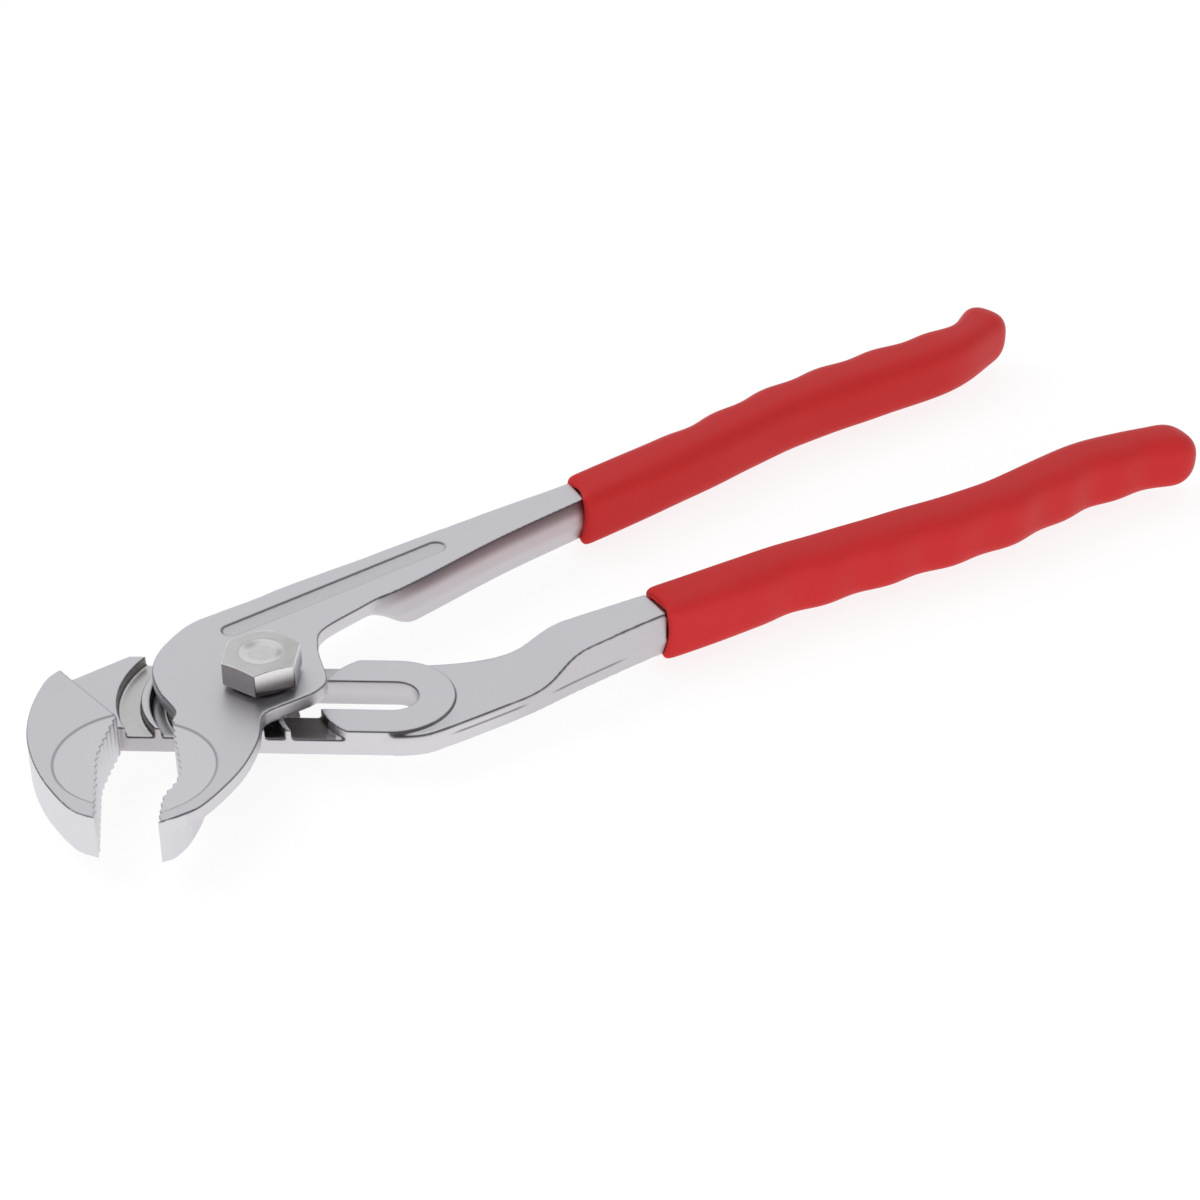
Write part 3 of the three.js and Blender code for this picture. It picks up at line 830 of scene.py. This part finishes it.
def shank_side(handle, side, up):
    half = handle["shank"][1 if side > 0 else 0]
    lean = DRAFT * abs(LEVER_THICKNESS / 2 + up - PARTING)
    return math.copysign((half - lean + LIP_ROOM) * min(1, abs(side) * 1.2), side)


def outer_half(handle, x):
    thumb = handle["thumb"] * ease(x, handle["length"] - 18, handle["length"])
    start = handle["dip"] - DIP_PITCH / 2
    dips = 1 + math.floor((handle["length"] - handle["dip"] - TANG_TIP) / DIP_PITCH)
    if not start < x < start + dips * DIP_PITCH:
        return OUTER_HALF + thumb
    dip = DIP_DEPTH * (1 + math.cos(2 * math.pi * (x - handle["dip"]) / DIP_PITCH)) / 2
    return OUTER_HALF + thumb - dip


def inner_half(handle, x):
    tuck = handle["tuck"] * ease(x, handle["length"] - 32, handle["length"] - 5)
    return INNER_HALF + handle["belly"] * swell(x, BELLY_AT, BELLY_SPREAD) - tuck


print("sleeve lengths", FRONT_HANDLE["length"], REAR_HANDLE["length"], "mm")

# %% [markdown]
# Each ring is told by where it lies along the handle, where its middle is, how wide and high it is,
# how square its corners are, how far it follows the slanted, forward-reaching mouth, and how far it
# has grown from the shank's own section to the sleeve's.

# %% Rings of a sleeve
Ring = namedtuple("Ring", "x middle half height square mouth grow")
SEGMENTS = 40
STEP = 2.4
DOME = 7.5
BOX_SQUARE = 9
LIP_SQUARE = 5.3
LIP_STEPS = ((0.35, 0), (0, 0.05), (0.1, 0.34), (0.45, 0.66), (1.1, 0.88), (2.1, 0.98))
MOUTH_REACH = 16  # the mouth's slant fades out over this length
OPENING = (2, 30)  # stretch where the sleeve gets rounder and fuller
DOME_TURNS = (14, 28, 42, 55, 67, 78, 86)


def hollow_rings(handle):
    deep = handle["length"] - TANG_TIP + 0.4
    count = round(deep / (2 * STEP))
    wide, high = TANG_ROOM
    rings = []
    for i in range(count):
        rings.append(Ring(deep - (deep - 0.8) * i / (count - 1), 0, wide, high, BOX_SQUARE, 0, 1))
    rings.append(Ring(0.6, 0, wide + 0.3, high + 0.3, BOX_SQUARE, 0, 1))
    rings.append(Ring(0.45, 0, OUTER_HALF, LIP_RISE, BOX_SQUARE, 0, 0))
    return rings


def lip_rings():
    middle = (OUTER_HALF - INNER_HALF) / 2
    half = (OUTER_HALF + INNER_HALF) / 2
    rings = []
    for x, grow in LIP_STEPS:
        height = LIP_RISE + (HALF_HEIGHT - LIP_RISE) * grow
        square = BOX_SQUARE - (BOX_SQUARE - LIP_SQUARE) * grow
        rings.append(Ring(x, middle, half, height, square, 1, grow))
    return rings


def skin_ring(handle, x, full, square, mouth):
    outer = outer_half(handle, x)
    inner = inner_half(handle, x)
    middle = (outer - inner) / 2
    return Ring(x, middle, (outer + inner) / 2 * full, HALF_HEIGHT * full, square, mouth, 1)


def skin_rings(handle):
    end = handle["length"] - DOME
    count = round(end / STEP)
    rings = []
    for i in range(2, count + 1):
        x = end * i / count
        open_up = ease(x, *OPENING)
        tip = ease(x, end - 26, end - 2)
        full = 1 + 0.05 * open_up * (1 - tip)
        square = LIP_SQUARE - 1.7 * open_up - 0.4 * tip
        rings.append(skin_ring(handle, x, full, square, max(0, 1 - x / MOUTH_REACH)))
    for degrees in DOME_TURNS:
        turn = math.radians(degrees)
        narrow = math.cos(turn) ** 0.8
        rings.append(skin_ring(handle, end + DOME * math.sin(turn), narrow, 3.2 - degrees / 90, 0))
    return rings


def lay_ring(verts, turn, handle, ring):
    slant = math.tan(math.radians(handle["skew"]))
    for v in verts:
        c, s = math.cos(v[turn]), math.sin(v[turn])
        side = math.copysign(abs(c) ** (2 / ring.square), c)
        rise = math.copysign(abs(s) ** (2 / ring.square), s)
        up = ring.height * rise
        hug = shank_side(handle, side, up)
        out = hug + (ring.middle + ring.half * side - hug) * ring.grow
        if ring.mouth == 1 and abs(out) < abs(hug):
            out = hug
        corner = (abs(side * rise) / 0.74) ** 1.6
        lead = handle["lip"] + out * slant - 0.5 - 0.75 * corner + 0.6 * rise
        v.co = sleeve_point(handle, ring.x + ring.mouth * lead, out, up)


print("rings of", SEGMENTS, "points, about", STEP, "mm apart")

# %% [markdown]
# The tube starts deep in the hollow, comes out along it to the lip, turns over the lip and runs down
# the outside to the tip. A vertex layer keeps each vertex's turn about the handle, and extruding
# copies it, so a new ring knows its own section. Both ends are closed with one face.

# %% Make the sleeves


def make_sleeve(name, handle):
    bm = bmesh.new()
    turn = bm.verts.layers.float.new("turn")
    verts = bmesh.ops.create_circle(bm, cap_ends=False, segments=SEGMENTS, radius=1)["verts"]
    for v in verts:
        v[turn] = math.atan2(v.co.y, v.co.x)
    rings = hollow_rings(handle) + lip_rings() + skin_rings(handle)
    edges = list(bm.edges)
    lay_ring(verts, turn, handle, rings[0])
    bmesh.ops.contextual_create(bm, geom=edges)
    for ring in rings[1:]:
        made = bmesh.ops.extrude_edge_only(bm, edges=edges)["geom"]
        verts = [g for g in made if isinstance(g, bmesh.types.BMVert)]
        edges = [e for e in made if isinstance(e, bmesh.types.BMEdge) and e.is_boundary]
        lay_ring(verts, turn, handle, ring)
    bmesh.ops.contextual_create(bm, geom=edges)
    bmesh.ops.recalc_face_normals(bm, faces=bm.faces)
    for face in bm.faces:
        face.smooth = True
    mesh = bpy.data.meshes.new(name)
    bm.to_mesh(mesh)
    bm.free()
    mesh.materials.append(red_plastic)
    piece = bpy.data.objects.new(name, mesh)
    bpy.context.scene.collection.objects.link(piece)
    smooth = piece.modifiers.new("smooth skin", "SUBSURF")
    smooth.levels = smooth.render_levels = 1
    print(name, len(rings), "rings")
    return piece


for name, handle, node, body in (
    ("front_sleeve_red", FRONT_HANDLE, "front_grip", "front_half"),
    ("rear_sleeve_red", REAR_HANDLE, "rear_grip", "rear_half"),
):
    sleeve = make_sleeve(name, handle)
    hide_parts(node)
    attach(sleeve, body)

# %% [markdown]
# The floor is plain white. Seen by the camera or in a reflection it glows, so the background is white
# without more light on the object, and the part that still answers to light keeps the shadow. Matt
# surfaces get a little extra light back from it, as they would from a white table.

# %% Floor
bm = bmesh.new()
bmesh.ops.create_grid(bm, x_segments=1, y_segments=1, size=4)
floor_mesh = bpy.data.meshes.new("floor")
bm.to_mesh(floor_mesh)
bm.free()
floor = bpy.data.objects.new("floor", floor_mesh)
bpy.context.scene.collection.objects.link(floor)

floor_white = bpy.data.materials.new("floor_white")
floor_white.use_nodes = True
tree = floor_white.node_tree
tree.nodes.clear()
path = new_node(tree, "ShaderNodeLightPath")
seen = new_node(tree, "ShaderNodeMath", operation="MAXIMUM")
plain = new_node(tree, "ShaderNodeBsdfDiffuse", {"Color": (0.85, 0.85, 0.85, 1)})
shaded = new_node(tree, "ShaderNodeBsdfDiffuse", {"Color": (0.2, 0.2, 0.2, 1)})
glow = new_node(tree, "ShaderNodeEmission", {"Color": (1, 1, 1, 1), "Strength": 0.84})
bounce = new_node(tree, "ShaderNodeEmission", {"Color": (1, 1, 1, 1), "Strength": 0.4})
for_matt = new_node(tree, "ShaderNodeAddShader")
for_seen = new_node(tree, "ShaderNodeAddShader")
mix = new_node(tree, "ShaderNodeMixShader")
out = new_node(tree, "ShaderNodeOutputMaterial")
join(tree, path.outputs["Is Camera Ray"], seen.inputs[0])
join(tree, path.outputs["Is Glossy Ray"], seen.inputs[1])
join(tree, shaded.outputs[0], for_seen.inputs[0])
join(tree, glow.outputs[0], for_seen.inputs[1])
join(tree, seen.outputs[0], mix.inputs[0])
join(tree, plain.outputs[0], for_matt.inputs[0])
join(tree, bounce.outputs[0], for_matt.inputs[1])
join(tree, for_matt.outputs[0], mix.inputs[1])
join(tree, for_seen.outputs[0], mix.inputs[2])
join(tree, mix.outputs[0], out.inputs["Surface"])
floor_mesh.materials.append(floor_white)
print("floor:", floor.name)

# %% [markdown]
# Chrome shows its surroundings, so the room matters more than the lamps. The room is a pale tent, a
# little darker than white, with one dark soft patch high on the camera's side: that patch is what
# draws the thin dark lines along the rounded near edges. Diffuse light gets an even grey instead.

# %% Room
world = bpy.data.worlds.new("studio_room")
bpy.context.scene.world = world
world.use_nodes = True
tree = world.node_tree
background = tree.nodes["Background"]
DARK_SIDE = Vector((-0.42, -0.91, 0)).normalized()
SIDE_EDGE = {"From Min": 0.16, "From Max": 0.46}
LOWER_EDGE = {"From Min": 0.22, "From Max": 0.42}
where = new_node(tree, "ShaderNodeTexCoord")
facing = new_node(tree, "ShaderNodeVectorMath", {1: DARK_SIDE}, operation="DOT_PRODUCT")
height = new_node(tree, "ShaderNodeSeparateXYZ")
side = new_node(tree, "ShaderNodeMapRange", SIDE_EDGE, interpolation_type="SMOOTHSTEP")
above = new_node(tree, "ShaderNodeMapRange", LOWER_EDGE, interpolation_type="SMOOTHSTEP")
patch = new_node(tree, "ShaderNodeMath", operation="MULTIPLY")
join(tree, where.outputs["Generated"], facing.inputs[0])
join(tree, where.outputs["Generated"], height.inputs[0])
join(tree, facing.outputs["Value"], side.inputs["Value"])
join(tree, height.outputs["Z"], above.inputs["Value"])
join(tree, side.outputs["Result"], patch.inputs[0])
join(tree, above.outputs["Result"], patch.inputs[1])
room = tint(tree, patch.outputs[0], (0.74, 0.74, 0.755), (0.12, 0.115, 0.115))
path = new_node(tree, "ShaderNodeLightPath")
lit = new_node(tree, "ShaderNodeMix", data_type="RGBA")
lit.inputs[7].default_value = (0.68, 0.68, 0.68, 1)
join(tree, path.outputs["Is Diffuse Ray"], lit.inputs["Factor"])
join(tree, room, lit.inputs[6])
white = new_node(tree, "ShaderNodeMix", data_type="RGBA")
white.inputs[7].default_value = (1, 1, 1, 1)
join(tree, path.outputs["Is Camera Ray"], white.inputs["Factor"])
join(tree, lit.outputs[2], white.inputs[6])
join(tree, white.outputs[2], background.inputs["Color"])
print("room:", world.name)

# %% [markdown]
# Two soft lamps shape the pieces: a key from behind on the left, high up, and a weak fill from the
# camera's side. They light the matt surfaces only, because the room already gives the chrome what it
# shows.

# %% Lamps


def soft_lamp(name, place, size, power):
    lamp = bpy.data.lights.new(name, "AREA")
    lamp.size = size
    lamp.energy = power
    holder = bpy.data.objects.new(name, lamp)
    holder.location = place
    holder.rotation_euler = (Vector((0.08, 0, 0)) - Vector(place)).to_track_quat("-Z", "Y").to_euler()
    holder.visible_glossy = False
    bpy.context.scene.collection.objects.link(holder)
    print(name, power, "W")


soft_lamp("key", (-0.35, 0.75, 1.1), 0.9, 5)
soft_lamp("fill", (-0.5, -0.95, 0.2), 0.9, 4)
